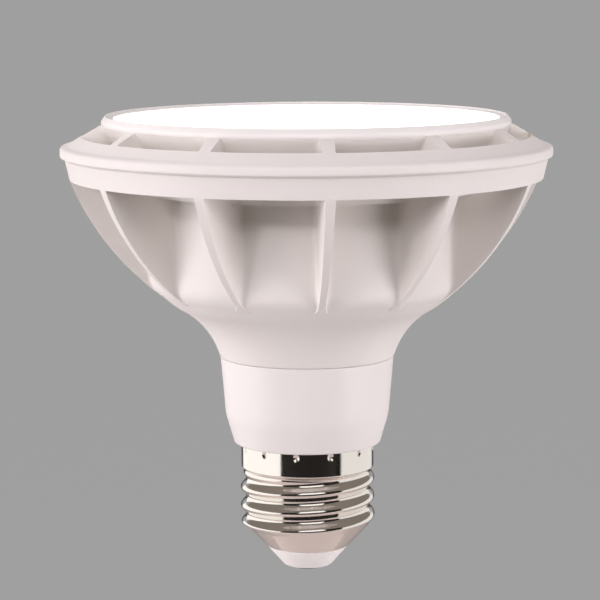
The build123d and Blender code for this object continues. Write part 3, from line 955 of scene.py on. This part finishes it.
studio = {
    "grey": 0.361,  # what the camera sees behind the lamp
    "floorDrop": 300,
    "floorSize": 120,  # m
    "floorColour": (0.62, 0.53, 0.475),
    "floorBounce": (0.15, 0.14, 0.13),  # what the floor sends back on the paint
    "floorSeen": 0.96,
    "floorShine": 0.2,
    "ambient": 0.02,
    "aim": 50,
    "tint": (1.0, 0.958, 1.025),
    "ceiling": 4000,
    "cardColour": (0.012, 0.011, 0.01),
    "cardRoughness": 0.9,
    # name, azimuth from the camera, elevation, distance, spread in degrees, radiance
    "softboxes": [
        ("sideLeft", -75, 3, 800, (30, 30), 5.3),
        ("sideLeftLow", -77, -18, 800, (30, 30), 2.4),
        ("nearLeft", -45, 15, 800, (24, 20), 4.9),
        ("smallLeft", -38, 22, 800, (3.5, 3), 112),
        ("sideRight", 65, 2, 800, (30, 30), 4.7),
        ("sideRightLow", 66, -18, 800, (30, 30), 3.9),
        ("farRight", 102, -8, 800, (30, 30), 0.7),
        ("keyFront", 6, 27, 800, (46, 9), 5.6),
        ("topFront", 0, 46, 800, (30, 30), 3.2),
        ("backLeft", -138, 32, 800, (30, 30), 3.0),
        ("backTop", 180, 54, 800, (30, 30), 4.1),
        ("backRight", 140, 14, 800, (30, 30), 0.9),
        ("lowLeft", -118, -45, 400, (30, 30), 3.7),
        ("lowRight", 116, -45, 400, (30, 30), 3.1),
        ("lowBack", 180, -45, 400, (30, 30), 0.8),
        ("lowFront", 0, -74, 320, (30, 30), 1.1),
    ],
    # name, azimuths, elevations, distance, brightness; the one with no azimuths lies overhead
    "cards": [
        ("whiteLeft", (-150, -47), (-34, 15), 600, (1.15, 1.13, 1.11)),
        ("whiteRight", (60, 150), (-34, 15), 600, (0.88, 0.86, 0.84)),
        ("whiteFront", (-17, 29), (12, 44), 540, (1.2, 1.18, 1.16)),
        ("darkFront", (-47, 60), (-34, 40), 600, (0, 0, 0)),
        ("ceiling", None, None, 800, (0.22, 0.19, 0.165)),
    ],
}

# the camera, at the photograph's angle
view = {
    "azimuth": -5.3,
    "distance": 466.1,
    "height": 121.25,
    "pitch": 8.29,
    "lens": 144.58,
    "shift": -0.0115,
    "roll": -0.2,
    "clipStart": 10,
}


def facing(azimuth, distance, height):
    # a place at an azimuth from the camera, to its right, and the turn that faces the lamp; mm
    around = radians(view["azimuth"] + azimuth)
    return (sin(around) * distance * mm, -cos(around) * distance * mm, height * mm), around


def makeCamera():
    leaveEdit()
    spot, around = facing(0, view["distance"], view["height"])
    bpy.ops.object.camera_add(location=spot, rotation=(radians(90 - view["pitch"]), 0, around))
    camera = bpy.context.active_object
    camera.rotation_euler.rotate_axis("Z", radians(view["roll"]))
    camera.data.lens = view["lens"]
    camera.data.shift_x = view["shift"]
    camera.data.clip_start = view["clipStart"] * mm
    bpy.context.scene.camera = camera


def makeFloor():
    leaveEdit()
    spot = (0, 0, -studio["floorDrop"] * mm)
    bpy.ops.mesh.primitive_plane_add(size=studio["floorSize"], location=spot)
    floor = bpy.context.active_object
    floor.name = "floor"
    material = bpy.data.materials.new("paleFloor")
    material.use_nodes = True
    material.node_tree.nodes.clear()
    wire = Wire(material.node_tree)
    seen = wire.node("ShaderNodeLightPath", output="Is Camera Ray")
    shiny = wire.node("ShaderNodeLightPath", output="Is Glossy Ray")
    bounced = wire.node("ShaderNodeLightPath", output="Is Diffuse Ray")
    colour = blend(bounced, studio["floorColour"], studio["floorBounce"])
    matt = wire.node("ShaderNodeBsdfDiffuse", None, {"Color": colour})
    grey = (studio["grey"],) * 3 + (1,)
    plain = wire.node("ShaderNodeEmission", None, {"Color": grey, "Strength": 1})
    share = seen * studio["floorSeen"] + shiny * studio["floorShine"]
    mixed = wire.node("ShaderNodeMixShader", None, {0: share, 1: matt, 2: plain})
    wire.node("ShaderNodeOutputMaterial", None, {"Surface": mixed})
    floor.data.materials.append(material)


def makeWorld():
    world = bpy.data.worlds.new("studio")
    bpy.context.scene.world = world
    world.use_nodes = True
    world.node_tree.nodes.clear()
    wire = Wire(world.node_tree)
    seen = wire.node("ShaderNodeLightPath", output="Is Camera Ray")
    shiny = wire.node("ShaderNodeLightPath", output="Is Glossy Ray")
    clear = wire.node("ShaderNodeLightPath", output="Is Transmission Ray")
    shown = wire.maths("MINIMUM", seen + shiny + clear, 1.0)
    level = shown * (studio["grey"] - studio["ambient"]) + studio["ambient"]
    back = wire.node("ShaderNodeBackground", None, {"Color": (1, 1, 1, 1), "Strength": level})
    wire.node("ShaderNodeOutputWorld", None, {"Surface": back})


def softbox(name, azimuth, elevation, distance, spread, radiance):
    # lights the paint; what the metal shows are the cards
    rise = radians(elevation)
    spot, around = facing(azimuth, distance * cos(rise), studio["aim"] + distance * sin(rise))
    leaveEdit()
    bpy.ops.object.light_add(type="AREA", location=spot, rotation=(pi / 2 - rise, 0, around))
    box = bpy.context.active_object
    box.name = name
    lamp = box.data
    lamp.shape = "RECTANGLE"
    lamp.size, lamp.size_y = (2 * distance * mm * tan(radians(angle / 2)) for angle in spread)
    lamp.energy = radiance * pi * lamp.size * lamp.size_y
    lamp.color = studio["tint"]
    box.visible_camera = box.visible_glossy = False


def card(name, azimuths, elevations, distance, brightness):
    # a flat panel that only the metal and the gloss of the paint see
    leaveEdit()
    if azimuths:
        low, high = (studio["aim"] + distance * tan(radians(rise)) for rise in elevations)
        width = 2 * distance * tan(radians((azimuths[1] - azimuths[0]) / 2))
        spot, around = facing((azimuths[0] + azimuths[1]) / 2, distance, (low + high) / 2)
        bpy.ops.mesh.primitive_plane_add(size=1, location=spot, rotation=(pi / 2, 0, around))
        size = (width * mm, (high - low) * mm, 1)
    else:
        bpy.ops.mesh.primitive_plane_add(size=1, location=(0, 0, distance * mm))
        size = (studio["ceiling"] * mm, studio["ceiling"] * mm, 1)
    panel = bpy.context.active_object
    panel.name = name
    panel.scale = size
    bpy.ops.object.transform_apply(location=True, rotation=True, scale=True)
    material, shader = newFinish(name)[:2]
    setShader(
        shader,
        {
            "Base Color": (*studio["cardColour"], 1),
            "Roughness": studio["cardRoughness"],
            "Emission Color": (*brightness, 1),
            "Emission Strength": 1,
        },
    )
    panel.data.materials.append(material)
    panel.visible_camera = panel.visible_diffuse = False
    panel.visible_shadow = panel.visible_transmission = False


makeCamera()
makeFloor()
makeWorld()
for box in studio["softboxes"]:
    softbox(*box)
for panel in studio["cards"]:
    card(*panel)
bpy.context.scene.view_settings.view_transform = "Standard"
print("stage set")
